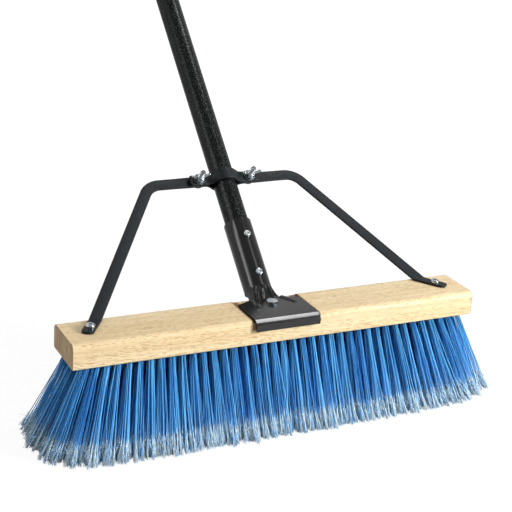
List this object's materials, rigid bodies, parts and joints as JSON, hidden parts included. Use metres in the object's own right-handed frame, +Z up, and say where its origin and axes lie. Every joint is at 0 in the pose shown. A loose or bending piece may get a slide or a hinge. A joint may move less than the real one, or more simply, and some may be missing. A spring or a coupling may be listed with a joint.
{
  "type": "push broom",
  "caption": "Wide push broom: wooden block with flared plastic bristles, bolted steel handle socket, long steel handle and a clamped flat-steel brace with wing nuts.",
  "frame": {"origin": "on the floor under the middle of the block, at the tip of the middle tuft", "axes": "+X along the block to the right seen from the front, +Y to the back where the handle leans, +Z up"},
  "size_m": [0.5332, 1.242, 1.1591],
  "materials": {
    "beech": "sanded, bare",
    "bristle": "drawn filament",
    "staple_wire": "drawn wire",
    "socket_enamel": "satin",
    "handle_coat": "hammered",
    "brace_coat": "satin",
    "zinc": "bright zinc",
    "cap_plastic": "moulded"
  },
  "bodies": {
    "broom": {"block": "beech", "brace_bow": "brace_coat", "brace_foot_screws": "zinc", "bristle_row_1": "bristle", "bristle_row_2": "bristle", "bristle_row_3": "bristle", "bristle_row_4": "bristle", "bristle_row_5": "bristle", "clamp_bolt_left": "zinc", "clamp_bolt_right": "zinc", "clamp_strap": "brace_coat", "handle_end_cap": "cap_plastic", "handle_tube": "handle_coat", "plate_lag_bolt": "zinc", "socket": "socket_enamel", "socket_screws": "zinc", "tuft_staples": "staple_wire"},
    "washer_left": {"wing_nut_washer_left": "zinc"},
    "washer_right": {"wing_nut_washer_right": "zinc"},
    "wing_nut_left": {"wing_nut_left": "zinc"},
    "wing_nut_right": {"wing_nut_right": "zinc"}
  },
  "joints": [
    {"name": "wing_nut_left_turn", "type": "hinge", "parent": "broom", "child": "washer_left", "pos_m": [-0.0303, 0.1398, 0.21357], "axis": [0, -0.6756, 0.7373], "range_deg": [0, 1800]},
    {"name": "wing_nut_left_rise", "type": "slide", "parent": "washer_left", "child": "wing_nut_left", "axis": [0, -0.6756, 0.7373], "range_m": [0, 0.00635]},
    {"name": "wing_nut_right_turn", "type": "hinge", "parent": "broom", "child": "washer_right", "pos_m": [0.0303, 0.1398, 0.21357], "axis": [0, -0.6756, 0.7373], "range_deg": [0, 1800]},
    {"name": "wing_nut_right_rise", "type": "slide", "parent": "washer_right", "child": "wing_nut_right", "axis": [0, -0.6756, 0.7373], "range_m": [0, 0.00635]}
  ],
  "couplings": [
    {"joint": "wing_nut_left_rise", "follows": "wing_nut_left_turn", "m_per_rad": 0.00020213},
    {"joint": "wing_nut_right_rise", "follows": "wing_nut_right_turn", "m_per_rad": 0.00020213}
  ]
}
